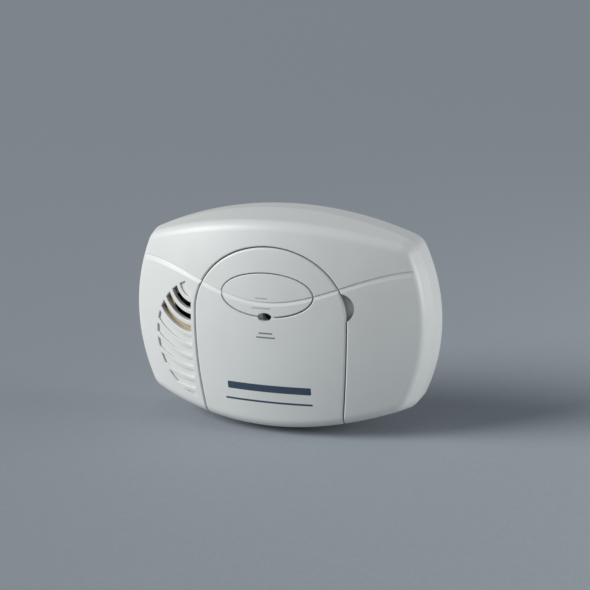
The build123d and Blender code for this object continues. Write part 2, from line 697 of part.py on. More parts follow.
def light_parts():
    body = disc(LIGHT_X, LIGHT_Z, LED_FLANGE_R, BOARD_FRONT, BOARD_FRONT + LED_FLANGE)
    body += disc(LIGHT_X, LIGHT_Z, LED_R, BOARD_FRONT, BOARD_FRONT + LED_TALL)
    led = fillet(body.edges().sort_by(Axis.Y)[0], LED_DOME_R)
    pipe = disc(LIGHT_X, LIGHT_Z, LED_R, BOARD_FRONT + LED_TALL + PIPE_GAP, PIPE_FRONT)
    pipe += disc(LIGHT_X, LIGHT_Z, PIPE_FLANGE_R, PIPE_FLANGE_BACK, PIPE_FLANGE_BACK + PIPE_FLANGE_THICK)
    return led, fillet(pipe.edges().sort_by(Axis.Y)[0], PIPE_EDGE_R)


def mouth_outline(grow):
    """The sounder's mouth: a circle cut off on the right."""
    left = Pos(MOUTH_RIGHT + grow - WIDTH / 2, 0) * Rectangle(WIDTH, 2 * HEIGHT)
    return (Pos(MOUTH_X, MOUTH_Z) * Circle(MOUTH_R + grow)) & left


def sounder_parts():
    outer = disc(SOUNDER_X, SOUNDER_Z, SOUNDER_R, BOARD_FRONT, SOUNDER_FRONT)
    neck = prism(mouth_outline(MOUTH_WALL), SOUNDER_FRONT - SOUNDER_WALL, LIMIT) & form(NECK_INSET)
    chamber = disc(SOUNDER_X, SOUNDER_Z, SOUNDER_R - SOUNDER_WALL, BOARD_FRONT + SOUNDER_FLOOR,
                   SOUNDER_FRONT - SOUNDER_WALL)
    housing = outer + neck - chamber
    housing -= prism(mouth_outline(0), SOUNDER_FRONT, LIMIT)
    housing -= disc(SOUND_HOLE_X, MOUTH_Z, SOUND_HOLE_R, SOUNDER_FRONT - 2 * SOUNDER_WALL, LIMIT)
    seat_front = BOARD_FRONT + SOUNDER_FLOOR + SEAT_THICK
    seat = prism(Pos(SOUNDER_X, SOUNDER_Z) * (Circle(PLATE_R) - Circle(PLATE_R - SEAT_WIDE)),
                 BOARD_FRONT + SOUNDER_FLOOR, seat_front)
    plate = disc(SOUNDER_X, SOUNDER_Z, PLATE_R, seat_front, seat_front + PLATE_THICK)
    wafer = disc(SOUNDER_X, SOUNDER_Z, WAFER_R, seat_front + PLATE_THICK, seat_front + 2 * PLATE_THICK)
    field = (Pos(BAFFLE_X, BAFFLE_Z) * Ellipse(BAFFLE_A, BAFFLE_B)) & (
        Pos(BAFFLE_RIGHT - WIDTH / 2, 0) * Rectangle(WIDTH, HEIGHT))
    baffle = shell(BAFFLE_INSET, BAFFLE_INSET + BAFFLE_THICK, field - mouth_outline(0))
    return housing, plate, wafer, seat, baffle


def sensor_parts():
    back = BOARD_FRONT + SENSOR_STANDOFF
    can_front = back + SENSOR_CAN
    can = disc(SENSOR_X, SENSOR_Z, SENSOR_R, back, can_front)
    can = fillet(can.edges().sort_by(Axis.Y)[-1], CAN_EDGE_R)
    cap = disc(SENSOR_X, SENSOR_Z, SENSOR_R - CAP_MARGIN, can_front, can_front + SENSOR_CAP)
    cap = fillet(cap.edges().sort_by(Axis.Y)[0], CAP_EDGE_R)
    for step in range(VENT_COUNT):
        turn = Pos(SENSOR_X, SENSOR_Z) * Rot(0, 0, 360 * step / VENT_COUNT)
        cap -= prism(turn * Pos(VENT_RING_R, 0) * Circle(VENT_R), can_front - OVERSHOOT, LIMIT)
    ring = Circle(SENSOR_R + SEAL_THICK) - Circle(SENSOR_R)
    seal = prism(Pos(SENSOR_X, SENSOR_Z) * ring, back + SEAL_BACK, back + SEAL_BACK + SEAL_TALL)
    pins = [disc(SENSOR_X + x, SENSOR_Z, SENSOR_PIN_R, BOARD_BACK - SENSOR_PIN_END, back)
            for x in (-PIN_SPREAD, PIN_SPREAD)]
    return can, cap, seal, Compound(pins)


def chip(x, z, width, height, tall):
    return block(x - width / 2, x + width / 2, z - height / 2, z + height / 2,
                 BOARD_FRONT, BOARD_FRONT + tall)


def chip_legs(package, count):
    """Flat feet down the two long sides of a chip."""
    x, z, _, height, _ = package
    feet = []
    for row in (z + height / 2 + LEG_REACH / 2, z - height / 2 - LEG_REACH / 2):
        for i in range(count):
            leg_x = x + (i - (count - 1) / 2) * LEG_PITCH
            feet.append(chip(leg_x, row, LEG_WIDTH, LEG_REACH, LEG_TALL))
    return feet


def coil_parts():
    x, z, radius, tall, flange = COIL
    front = BOARD_FRONT
    window = (front + flange, front + tall - flange)
    post = disc(x, z, COIL_POST_R, front, front + tall)
    core = disc(x, z, radius, front, front + tall) - disc(x, z, radius + OVERSHOOT, *window) + post
    return core, disc(x, z, radius - COIL_MARGIN, *window) - post


def board_components():
    """The small parts on the board, each kind a group of its own."""
    core, winding = coil_parts()
    groups = {
        "microcontroller": [chip(*CONTROLLER)],
        "microcontroller_leads": chip_legs(CONTROLLER, 7),
        "horn_driver": [chip(*DRIVER)],
        "horn_driver_leads": chip_legs(DRIVER, 5),
        "boost_coil_core": [core],
        "boost_coil_winding": [winding],
        "electrolytic_capacitors": [disc(x, z, radius, BOARD_FRONT, BOARD_FRONT + tall)
                                    for x, z, radius, tall in CANS],
        "crystal": [chip(*CRYSTAL)],
        "chip_resistors": [chip(x, z, *RESISTOR_SIZE) for x, z in RESISTORS],
        "ceramic_capacitors": [chip(x, z, *CERAMIC_SIZE) for x, z in CERAMICS],
        "boost_diode": [Pos(DIODE_X, -(BOARD_FRONT + DIODE_R), DIODE_Z) * Rot(0, 90, 0)
                        * Cylinder(DIODE_R, DIODE_LENGTH)],
    }
    return {name: Compound(solids) if len(solids) > 1 else solids[0]
            for name, solids in groups.items()}


def at_bosses():
    return [(x, z) for x in (-BOSS_X, BOSS_X) for z in (-BOSS_Z, BOSS_Z)]


def hook_slots():
    """Openings in the rear cover that hang on the bracket's hooks."""
    top = HOOK_Z + HANG_GAP
    low = HOOK_Z - HOOK_POST - LIFT + HANG_GAP - HOOK_PLAY
    half = HOOK_WIDTH / 2 + HOOK_PLAY
    return [block(x - half, x + half, low + shift, top + shift, 0, RIM_DEPTH)
            for x in (-HOOK_X, HOOK_X) for shift in (0, -2 * HOOK_Z)]


def rear_cover():
    inset = WALL + REAR_FIT
    cover = prism(body_outline(0, inset), REAR_FACE, REAR_FLANGE)
    cover -= prism(body_outline(0, inset + REAR_WALL), REAR_FACE + REAR_WALL, REAR_FLANGE + OVERSHOOT)
    for x, z in at_bosses():
        cover += disc(x, z, BOSS_STEP_R, REAR_FACE, BOSS_JOINT - BOARD_GAP)
        cover -= disc(x, z, SCREW_HEAD_R + HEAD_GAP, 0, SCREW_SEAT + SCREW_HEAD_H)
        cover -= disc(x, z, SCREW_R + SHANK_GAP, 0, LIMIT)
    for cut in hook_slots():
        cover -= cut
    for row in range(VENT_ROWS):
        for x in (-VENT_X, VENT_X):
            z = VENT_PITCH * (row - (VENT_ROWS - 1) / 2)
            cover -= prism(Pos(x, z) * SlotOverall(VENT_LENGTH, VENT_WIDTH), 0, REAR_FLANGE)
    return cover


def housing_screws():
    screws = []
    for x, z in at_bosses():
        head_front = SCREW_SEAT + SCREW_HEAD_H
        head = disc(x, z, SCREW_HEAD_R, SCREW_SEAT, head_front)
        shank = disc(x, z, SCREW_R, SCREW_SEAT, head_front + SCREW_LENGTH)
        cross = block(x - CROSS_LONG, x + CROSS_LONG, z - CROSS_THIN, z + CROSS_THIN,
                      SCREW_SEAT, SCREW_SEAT + CROSS_DEEP)
        cross += block(x - CROSS_THIN, x + CROSS_THIN, z - CROSS_LONG, z + CROSS_LONG,
                       SCREW_SEAT, SCREW_SEAT + CROSS_DEEP)
        screws.append(head + shank - cross)
    return Compound(screws)


def bracket_windows(grow):
    """Outlines of the openings that lighten the bracket, grown by this much."""
    return [Pos(0, z) * RectangleRounded(WINDOW_WIDTH + 2 * grow, WINDOW_HEIGHT + 2 * grow,
                                         WINDOW_R + grow) for z in (-WINDOW_Z, WINDOW_Z)]


def wall_bracket():
    outline = RectangleRounded(BRACKET_WIDTH, BRACKET_HEIGHT, BRACKET_CORNER)
    inner = RectangleRounded(BRACKET_WIDTH - 2 * RIB_THICK, BRACKET_HEIGHT - 2 * RIB_THICK,
                             BRACKET_CORNER - RIB_THICK)
    rib_front = BRACKET_THICK + RIB_TALL
    plate = prism(outline, 0, BRACKET_THICK) + prism(outline - inner, 0, rib_front)
    for wide, window in zip(bracket_windows(RIB_THICK), bracket_windows(0)):
        plate += prism(wide - window, 0, rib_front)
        plate -= prism(window, 0, LIMIT)
    for x in (-SLOT_SPACING / 2, SLOT_SPACING / 2):
        pad = SlotOverall(SCREW_SLOT_LENGTH + 2 * PAD_MARGIN, 2 * (SCREW_SLOT_R + PAD_MARGIN))
        plate += prism(Pos(x, 0) * pad, 0, rib_front)
        plate -= prism(Pos(x, 0) * SlotOverall(SCREW_SLOT_LENGTH, 2 * SCREW_SLOT_R), 0, LIMIT)
    lip_back = REAR_FACE + REAR_WALL + HOOK_GAP
    for x in (-HOOK_X, HOOK_X):
        for z in (HOOK_Z, -HOOK_Z):
            left, right = x - HOOK_WIDTH / 2, x + HOOK_WIDTH / 2
            plate += block(left, right, z - HOOK_POST, z, 0, lip_back + HOOK_THICK)
            plate += block(left, right, z - HOOK_POST, z + HOOK_LIP, lip_back, lip_back + HOOK_THICK)
    return plate


def rear_label():
    outline = RectangleRounded(LABEL_WIDTH, LABEL_HEIGHT, LABEL_R)
    return prism(outline, REAR_FACE - LABEL_THICK, REAR_FACE)


def write(name, solid):
    solid.label = name
    export_step(solid, f"parts/{name}.step")


def build():
    jacket, end_plate, small_snap, large_snap, plate, positive_clip, negative_clip = battery_parts()
    led, pipe = light_parts()
    housing, piezo_plate, piezo_wafer, seat, baffle = sounder_parts()
    can, cap, seal, pins = sensor_parts()
    nodes = {
        "front_cover": front_cover(),
        "rear_cover": rear_cover(),
        "wall_bracket": wall_bracket(),
        "battery_door": battery_door(),
        "door_hinge_pin": hinge_pin(),
        "test_button": test_button(),
        "button_retainer": button_retainer(),
        "battery_tray": battery_tray(),
        "battery_jacket": jacket,
        "battery_end_plate": end_plate,
        "battery_positive_snap": small_snap,
        "battery_negative_snap": large_snap,
        "contact_plate": plate,
        "positive_contact": positive_clip,
        "negative_contact": negative_clip,
        "main_circuit_board": main_circuit_board(),
        "test_switch_body": switch_body(),
        "test_switch_plunger": switch_plunger(),
        "indicator_led": led,
        "light_pipe": pipe,
        "sounder_housing": housing,
        "sounder_brass_plate": piezo_plate,
        "sounder_ceramic_disc": piezo_wafer,
        "sounder_seat_ring": seat,
        "sounder_baffle": baffle,
        "gas_sensor_can": can,
        "gas_sensor_cap": cap,
        "gas_sensor_seal": seal,
        "gas_sensor_pins": pins,
        "housing_screws": housing_screws(),
        "rear_label": rear_label(),
    }
    nodes.update(board_components())
    os.makedirs("parts", exist_ok=True)
    for name, solid in nodes.items():
        write(name, solid)


build()
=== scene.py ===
# %% [markdown]
# # A battery-powered carbon monoxide alarm
# The alarm's shells, door, button, battery and board are already cut to size in a imported CAD frame.
# This lesson dresses that frame: it gives every part the finish that its real material has, and it
# models the small things that a design drawing leaves out, such as printing, moulding marks, wire and
# solder. The frame is loaded first, because most later places are read from it, and its outer box is
# kept, because the printing starts in front of it and the table lies at its bottom.

# %% Load the frame
import bpy
from math import cos, pi, radians, sin
from mathutils import Matrix, Vector


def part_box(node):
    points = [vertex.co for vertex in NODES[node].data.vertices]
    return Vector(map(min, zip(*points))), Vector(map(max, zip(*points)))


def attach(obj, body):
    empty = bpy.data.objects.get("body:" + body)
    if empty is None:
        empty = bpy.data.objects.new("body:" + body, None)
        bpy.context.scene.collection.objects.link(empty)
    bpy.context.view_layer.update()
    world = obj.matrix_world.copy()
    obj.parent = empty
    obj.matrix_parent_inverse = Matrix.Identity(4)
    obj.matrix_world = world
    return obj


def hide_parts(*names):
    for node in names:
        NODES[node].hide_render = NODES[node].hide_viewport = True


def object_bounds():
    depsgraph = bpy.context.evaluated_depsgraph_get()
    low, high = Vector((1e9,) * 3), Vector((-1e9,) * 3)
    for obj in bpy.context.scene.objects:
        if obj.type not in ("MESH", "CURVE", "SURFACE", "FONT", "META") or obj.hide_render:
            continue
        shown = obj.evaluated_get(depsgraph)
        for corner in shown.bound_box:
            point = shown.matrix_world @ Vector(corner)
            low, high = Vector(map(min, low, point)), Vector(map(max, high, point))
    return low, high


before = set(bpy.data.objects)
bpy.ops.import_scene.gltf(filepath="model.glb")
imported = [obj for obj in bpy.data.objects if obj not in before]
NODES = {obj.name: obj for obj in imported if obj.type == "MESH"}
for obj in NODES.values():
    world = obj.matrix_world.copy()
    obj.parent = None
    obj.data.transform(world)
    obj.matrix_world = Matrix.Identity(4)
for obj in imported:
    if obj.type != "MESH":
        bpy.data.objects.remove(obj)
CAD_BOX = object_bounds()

MM = 0.001

# %% [markdown]
# The camera comes next, because it decides what has to look right. It stands a little above the alarm
# and to its right, with a long lens. A camera could be aimed with a Track To constraint, but the small
# roll of a camera held by hand is easier to give when the camera's own three axes are worked out as
# vectors: the line of sight, the level across it, and what is left for up.

# %% Camera
AZIMUTH = radians(22.76)
ELEVATION = radians(15.38)
ROLL = radians(-1.36)
DISTANCE = 575.8 * MM
LENS = 76.3
SENSOR = 36.0
AIM = Vector((0, -15 * MM, 0))
AIM_RIGHT = 7.2 * MM
AIM_UP = 9.5 * MM
NEAREST = 10 * MM
FARTHEST = 100

back = Vector((sin(AZIMUTH) * cos(ELEVATION), -cos(AZIMUTH) * cos(ELEVATION), sin(ELEVATION)))
level = Vector((cos(AZIMUTH), sin(AZIMUTH), 0))
eye = AIM + back * DISTANCE
target = AIM + level * AIM_RIGHT + back.cross(level) * AIM_UP
sight = (target - eye).normalized()
across = sight.cross(Vector((0, 0, 1))).normalized()
above = across.cross(sight)
right = across * cos(ROLL) + above * sin(ROLL)
up = above * cos(ROLL) - across * sin(ROLL)
axes = Matrix((right, up, -sight)).transposed()
bpy.ops.object.camera_add(location=eye, rotation=axes.to_euler())
camera = bpy.context.object
camera.data.lens = LENS
camera.data.sensor_width = SENSOR
camera.data.clip_start = NEAREST
camera.data.clip_end = FARTHEST
bpy.context.scene.camera = camera
print("camera at", [round(c, 3) for c in eye], "looking at", [round(c, 3) for c in target])

# %% [markdown]
# Colours are picked as sRGB hex values, the way a paint chart gives them, but shaders work in linear
# light, so one function turns the one into the other. A second small function adds any node at all:
# its settings are named, and each input takes either a number or another node's socket. With those
# two, a material reads as a short recipe. Pattern sizes are given in real millimetres.

# %% Colour and node helpers


def linear(hex_colour):
    """An sRGB colour such as '#E6E5E0' as linear red, green, blue and alpha."""
    values = []
    for start in (1, 3, 5):
        channel = int(hex_colour[start:start + 2], 16) / 255
        values.append(channel / 12.92 if channel <= 0.04045 else ((channel + 0.055) / 1.055) ** 2.4)
    return (*values, 1.0)


def add(tree, kind, inputs=None, **settings):
    """Adds a shader node with these settings, and sets or links each of its named inputs."""
    node = tree.nodes.new("ShaderNode" + kind)
    for name, value in settings.items():
        setattr(node, name, value)
    for name, value in (inputs or {}).items():
        if isinstance(value, bpy.types.NodeSocket):
            tree.links.new(value, node.inputs[name])
        else:
            node.inputs[name].default_value = value
    return node


def per(millimetres):
    """Texture scale that gives a pattern features about this many millimetres wide."""
    return 1 / (millimetres * MM)


# %% [markdown]
# Moulded, rolled and fired surfaces all show the same three things: a tone that wanders by a percent
# or two, a fine tooth that breaks up the highlight, and a gloss that is not quite even. `finish` lays
# down that base from real sizes, with noise in Object coordinates, so that neighbouring parts do not
# repeat each other. `stretch` draws the tooth out along one axis, as rolling or brushing does. A
# material that needs more, such as a printed band, gives `finish` the nodes for its own colour.

# %% A base finish for every material


def begin(name):
    """A new empty node material, its tree, and its Object coordinates."""
    material = bpy.data.materials.new(name)
    material.use_nodes = True
    material.node_tree.nodes.clear()
    return material, material.node_tree, add(material.node_tree, "TexCoord").outputs["Object"]


def finish(name, colour, second, roughness, tone_mm=9.0, grain_mm=0.8, depth_mm=0.01, spread=0.06,
           stretch=(1, 1, 1), overlay=None, **shader):
    """A material whose colour, gloss and grain vary; overlay may add to its colour."""
    material, tree, place = begin(name)
    tone = add(tree, "TexNoise", {"Vector": place, "Scale": per(tone_mm), "Detail": 3.0})
    colours = {"Factor": tone.outputs["Fac"], "A": linear(colour), "B": linear(second)}
    shade = add(tree, "Mix", colours, data_type="RGBA").outputs["Result"]
    if overlay:
        shade = overlay(tree, place, shade)
    drawn = add(tree, "Mapping", {"Vector": place, "Scale": stretch})
    grain = add(tree, "TexNoise", {"Vector": drawn.outputs["Vector"], "Scale": per(grain_mm),
                                   "Detail": 2.0})
    gloss = add(tree, "MapRange", {"Value": grain.outputs["Fac"], "From Min": 0.3, "From Max": 0.7,
                                   "To Min": roughness - spread, "To Max": roughness + spread})
    bump = add(tree, "Bump", {"Height": grain.outputs["Fac"], "Distance": depth_mm * MM,
                              "Strength": 1.0})
    surface = add(tree, "BsdfPrincipled", {"Base Color": shade, "Roughness": gloss.outputs["Result"],
                                           "Normal": bump.outputs["Normal"], **shader})
    add(tree, "OutputMaterial", {"Surface": surface.outputs["BSDF"]})
    return material


def dress(material, *pieces):
    """Puts one material on every slot of these CAD nodes or new pieces."""
    for piece in pieces:
        mesh = NODES[piece].data if isinstance(piece, str) else piece.data
        if not mesh.materials:
            mesh.materials.append(material)
        for index in range(len(mesh.materials)):
            mesh.materials[index] = material
    print(material.name, "on", len(pieces), "pieces")


# %% [markdown]
# The case, the door and the button are injection-moulded ABS, from a mould that was spark-eroded to a
# fine matt. That gives the eye a broad soft highlight and no mirror image, and its white is a little
# warm. The true grain is about a tenth of a millimetre, too fine to show from here, so it is drawn at
# 0.7 mm and kept very shallow. Handling leaves faint dull clouds a few centimetres across.

# %% White outer shells


def clouds(tree, place, shade):
    """Faint broad clouds, as handling leaves on a white moulding."""
    broad = add(tree, "TexNoise", {"Vector": place, "Scale": per(35.0), "Detail": 2.0})
    amount = add(tree, "MapRange", {"Value": broad.outputs["Fac"], "From Min": 0.45, "From Max": 0.75,
                                    "To Min": 0.0, "To Max": 0.35})
    mixed = add(tree, "Mix", {"Factor": amount.outputs["Result"], "A": shade, "B": linear("#D9D9D2")},
                data_type="RGBA")
    return mixed.outputs["Result"]


shell_abs = finish("Moulded_ABS_spark_eroded_white", "#E2E4E1", "#DEE0DD", 0.42, grain_mm=0.7,
                   depth_mm=0.006, overlay=clouds, IOR=1.52)
dress(shell_abs, "front_cover", "battery_door", "test_button")

# %% [markdown]
# The rear cover and the bracket come from a plainer mould, polished less carefully, so they are a
# shade greyer, with a coarser tooth. The inner chassis is the cheapest of the mouldings, a creamy
# natural ABS that shows the swirl of the melt. The sounder's baffle is beige, and its horn is black:
# the black also paints in the shade deep in the horn's mouth behind the slots.

# %% Inner and rear mouldings


def melt_swirl(tree, place, shade):
    """Slow bands where the plastic flowed into the mould."""
    flow = add(tree, "TexWave", {"Vector": place, "Scale": per(60.0), "Distortion": 9.0, "Detail": 2.0})
    amount = add(tree, "MapRange", {"Value": flow.outputs["Fac"], "To Min": 0.0, "To Max": 0.3})
    mixed = add(tree, "Mix", {"Factor": amount.outputs["Result"], "A": shade, "B": linear("#CAC8BC")},
                data_type="RGBA")
    return mixed.outputs["Result"]


rear_abs = finish("Moulded_ABS_rear_white", "#DBDBD5", "#D5D5CE", 0.5, depth_mm=0.012,
                  overlay=clouds, IOR=1.52)
dress(rear_abs, "rear_cover", "wall_bracket")
chassis_abs = finish("Moulded_ABS_natural_cream", "#D7D6CD", "#D1D0C6", 0.48, depth_mm=0.012,
                     overlay=melt_swirl, IOR=1.52)
dress(chassis_abs, "battery_tray", "button_retainer")
beige_abs = finish("Moulded_ABS_beige", "#C3B193", "#B7A486", 0.55, tone_mm=4.0, depth_mm=0.015,
                   IOR=1.52)
dress(beige_abs, "sounder_baffle")
# The horn's black also paints in the shade deep in its mouth behind the open slots.
horn_abs = finish("Moulded_ABS_black", "#141415", "#1A1A1C", 0.5, depth_mm=0.012, IOR=1.52)
dress(horn_abs, "sounder_housing", "test_switch_body", "test_switch_plunger")

# %% [markdown]
# The electronic parts each have a plain, well-known finish. Epoxy moulding compound is a gritty black.
# Vulcanised fibre, which carries the battery contacts, is pressed paper and shows its fibres. Ferrite
# is a dull sintered ceramic. The electrolytic capacitors wear a shrink sleeve, and the multilayer
# capacitors are bare fired ceramic.

# %% Electronic parts
epoxy = finish("Epoxy_moulding_compound_black", "#1C1C1E", "#26262A", 0.52, tone_mm=1.0, grain_mm=0.2,
               depth_mm=0.008, IOR=1.55)
dress(epoxy, "microcontroller", "horn_driver", "chip_resistors", "boost_diode")
fibre = finish("Vulcanised_fibre_black", "#201E1C", "#2E2B27", 0.68, tone_mm=0.9, grain_mm=0.4,
               depth_mm=0.02, stretch=(1, 1, 0.2), IOR=1.5)
dress(fibre, "battery_end_plate", "contact_plate")
ferrite = finish("Sintered_ferrite_grey", "#2B2B2E", "#3A3A3D", 0.58, tone_mm=0.8, grain_mm=0.3, IOR=1.9)
dress(ferrite, "boost_coil_core")
sleeve = finish("Shrink_sleeve_navy", "#1D2540", "#192038", 0.3, tone_mm=3.0, depth_mm=0.004, IOR=1.5)
dress(sleeve, "electrolytic_capacitors")
titanate = finish("Fired_barium_titanate_tan", "#A98A62", "#97784F", 0.5, tone_mm=0.7, grain_mm=0.2,
                  IOR=1.7)
dress(titanate, "ceramic_capacitors")
silver_fired = finish("Silvered_piezo_ceramic", "#CFCBC2", "#BFBBB1", 0.42, tone_mm=2.0, grain_mm=0.3,
                      IOR=1.6)
dress(silver_fired, "sounder_ceramic_disc")
silicone = finish("Moulded_silicone_black", "#1B1B1C", "#29292A", 0.62, tone_mm=2.0, IOR=1.43)
dress(silicone, "sounder_seat_ring", "gas_sensor_seal")
nylon = finish("Moulded_nylon_white", "#DADAD6", "#D0D0CB", 0.46, tone_mm=5.0, IOR=1.53)
dress(nylon, "gas_sensor_cap")
paper = finish("Coated_label_paper", "#DCDCD8", "#D2D2CD", 0.42, tone_mm=2.5, grain_mm=0.3,
               depth_mm=0.008, IOR=1.5)
dress(paper, "rear_label")

# %% [markdown]
# Metals get their colour from the reflection, so they are fully metallic and keep the default IOR.
# Plated and rolled strip is drawn out along its length, which is what `stretch` is for. Nickel is
# warm, zinc cool with a faint spangle, tin dull, and brass and copper keep their own hues.

# %% Metals
nickel = finish("Nickel_plated_steel", "#CBC5B8", "#B9B3A6", 0.24, tone_mm=3.0, grain_mm=0.3,
                depth_mm=0.003, stretch=(1, 0.15, 1), Metallic=1.0)
dress(nickel, "battery_positive_snap", "battery_negative_snap", "positive_contact", "negative_contact",
      "gas_sensor_can")
tin = finish("Tinned_copper", "#C4C5C6", "#AEB0B1", 0.36, tone_mm=1.5, grain_mm=0.3, depth_mm=0.006,
             Metallic=1.0)
dress(tin, "gas_sensor_pins", "microcontroller_leads", "horn_driver_leads", "crystal")
zinc = finish("Zinc_plated_steel", "#B6B8BC", "#9FA2A8", 0.34, tone_mm=1.2, grain_mm=0.4,
              depth_mm=0.005, Metallic=1.0)
dress(zinc, "housing_screws", "door_hinge_pin")
brass = finish("Rolled_brass", "#C9A458", "#B8934A", 0.28, tone_mm=4.0, grain_mm=0.3, depth_mm=0.004,
               stretch=(0.1, 1, 1), Metallic=1.0)
dress(brass, "sounder_brass_plate")
copper = finish("Enamelled_copper_wire", "#B8642C", "#98491C", 0.22, tone_mm=0.8, grain_mm=0.3,
                depth_mm=0.004, Metallic=1.0)
dress(copper, "boost_coil_winding")

# %% [markdown]
# The battery's jacket is tinplate, lacquered in two colours: a slate body and a pale band at the
# terminal end with a thin line beside it. The bands are cut by position along the battery, read from
# the frame, with Math nodes that ask whether a point lies past a given x.

# %% Battery jacket
JACKET_LOW, JACKET_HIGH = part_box("battery_jacket")
BAND_WIDE = 13 * MM
LINE_WIDE = 1.0 * MM
LINE_GAP = 1.2 * MM
BAND_START = JACKET_HIGH.x - BAND_WIDE
LINE_END = BAND_START - LINE_GAP
LINE_START = LINE_END - LINE_WIDE


def printed_bands(tree, place, shade):
    """A pale band at the terminal end and a thin line beside it."""
    x = add(tree, "SeparateXYZ", {"Vector": place}).outputs["X"]
    masks = []
    for start in (BAND_START, LINE_START, LINE_END):
        past = add(tree, "Math", {0: x, 1: start}, operation="GREATER_THAN")
        masks.append(past.outputs["Value"])
    line = add(tree, "Math", {0: masks[1], 1: masks[2]}, operation="SUBTRACT")
    both = add(tree, "Math", {0: line.outputs["Value"], 1: masks[0]}, operation="ADD")
    mixed = add(tree, "Mix", {"Factor": both.outputs["Value"], "A": shade, "B": linear("#B9BCBB")},
                data_type="RGBA")
    return mixed.outputs["Result"]


jacket = finish("Lacquered_tinplate_two_tone", "#33475A", "#2E4050", 0.26, tone_mm=6.0,
                depth_mm=0.004, overlay=printed_bands, IOR=1.5)
dress(jacket, "battery_jacket")

# %% [markdown]
# The board is glass epoxy with a green solder mask. Copper tracks show through the mask as slightly
# lighter lines that run straight, turn, and stop. Two sets of stripes, one along the board and one up
# it, are switched on and off by large square cells, which gives that look without drawing a circuit.

# %% Circuit board
TRACK_PITCH = 2.54
CELL = 11.0


def tracks(tree, place, shade):
    """Lighter stripes at the track pitch, along or up the board by turns from cell to cell."""
    parts = add(tree, "SeparateXYZ", {"Vector": place})
    stripes = []
    for axis in ("X", "Z"):
        turns = add(tree, "Math", {0: parts.outputs[axis], 1: 2 * pi * per(TRACK_PITCH)},
                    operation="MULTIPLY")
        wave = add(tree, "Math", {0: turns.outputs["Value"]}, operation="SINE")
        line = add(tree, "Math", {0: wave.outputs["Value"], 1: 0.7}, operation="GREATER_THAN")
        stripes.append(line.outputs["Value"])
    cells = add(tree, "TexVoronoi", {"Vector": place, "Scale": per(CELL), "Randomness": 0.4},
                distance="CHEBYCHEV")
    pick = add(tree, "Math", {0: cells.outputs["Color"], 1: 0.5}, operation="GREATER_THAN")
    chosen = add(tree, "Mix", {"Factor": pick.outputs["Value"], "A": stripes[0], "B": stripes[1]})
    mixed = add(tree, "Mix", {"Factor": chosen.outputs["Result"], "A": shade,
                              "B": linear("#3C8A50")}, data_type="RGBA")
    return mixed.outputs["Result"]


mask = finish("Green_solder_mask_on_glass_epoxy", "#1E6437", "#1A5A31", 0.3, tone_mm=5.0,
              grain_mm=0.5, overlay=tracks, IOR=1.55)
dress(mask, "main_circuit_board")

# %% [markdown]
# Two parts pass light. The indicator is a red-tinted epoxy lens, and the pipe in front of it is
# polished acrylic, clear enough that from outside it looks like the dark hole it stands in. Both are
# transmissive, with the refraction of the real resin, and keep a slight haze.

# %% Lens and light pipe
red_epoxy = finish("Tinted_epoxy_lens_red", "#A01812", "#8C120D", 0.14, tone_mm=2.0, depth_mm=0.002,
                   spread=0.03, IOR=1.54, **{"Transmission Weight": 0.7})
dress(red_epoxy, "indicator_led")
acrylic = finish("Polished_acrylic_clear", "#D8DBDA", "#CDD1D0", 0.1, tone_mm=4.0, depth_mm=0.002,
                 spread=0.03, IOR=1.49, **{"Transmission Weight": 0.92})
dress(acrylic, "light_pipe")

# %% [markdown]
# From here on new pieces are modelled, as by hand: a primitive is added at its size and place, shaped
# in edit mode, and finished with modifiers. Every new piece ends the same way. Its place goes into its
# mesh, its normals are made to point outwards, it gets a material, and it is told which body of the
# alarm it moves with. Those last steps are one function.

# %% Helpers for new pieces


def start_clean():
    """Deselects everything, so that the next operator acts on the new piece alone."""
    if bpy.context.object and bpy.context.object.mode != "OBJECT":
        bpy.ops.object.mode_set(mode="OBJECT")
    bpy.ops.object.select_all(action="DESELECT")


def use(piece):
    """Makes this piece the only selected one, and the active one."""
    start_clean()
    piece.select_set(True)
    bpy.context.view_layer.objects.active = piece


def bake_in(piece):
    """Moves the piece's place, turn and size into its mesh."""
    use(piece)
    bpy.ops.object.transform_apply(location=True, rotation=True, scale=True)


def modify(piece, kind, **settings):
    """Adds a modifier with these settings and applies it."""
    use(piece)
    modifier = piece.modifiers.new(kind.lower(), kind)
    for name, value in settings.items():
        setattr(modifier, name, value)
    bpy.ops.object.modifier_apply(modifier=modifier.name)


def joined(name, pieces):
    """Joins several objects into one piece of this name."""
    use(pieces[0])
    for piece in pieces[1:]:
        piece.select_set(True)
    if len(pieces) > 1:
        bpy.ops.object.join()
    whole = bpy.context.object
    whole.name = name
    return whole


def fit(piece, body, material):
    """Closes the piece's making: outward normals, smooth sides, its material and its body."""
    use(piece)
    bpy.ops.object.mode_set(mode="EDIT")
    bpy.ops.mesh.select_all(action="SELECT")
    bpy.ops.mesh.normals_make_consistent(inside=False)
    bpy.ops.object.mode_set(mode="OBJECT")
    bpy.ops.object.shade_smooth_by_angle(angle=radians(35))
    dress(material, piece)
    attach(piece, body)
    print(piece.name, len(piece.data.polygons), "faces, rides on", body)


# %% [markdown]
# The legends on the door are pad-printed: a soft pad carries ink onto the bowed face, and the ink sits
# a few hundredths of a millimetre proud. Plain bars stand for the printing here. Each starts as an
# upright grid the size of the mark, gets rounded corners by bevelling them, and is pressed onto the
# door with a Shrinkwrap that projects straight back. A Solidify gives the ink its thickness.

# %% Printed bars on the door and the button
INK_THICK = 0.04 * MM
INK_START = CAD_BOX[0][1] - 5 * MM
GRID_STEP = 1.0 * MM
CORNER_SHARE = 0.45     # rounding of a corner, as a share of the height or the step if that is less
NEAR_EDGE = 0.499       # a corner lies farther out than this share of the width and height


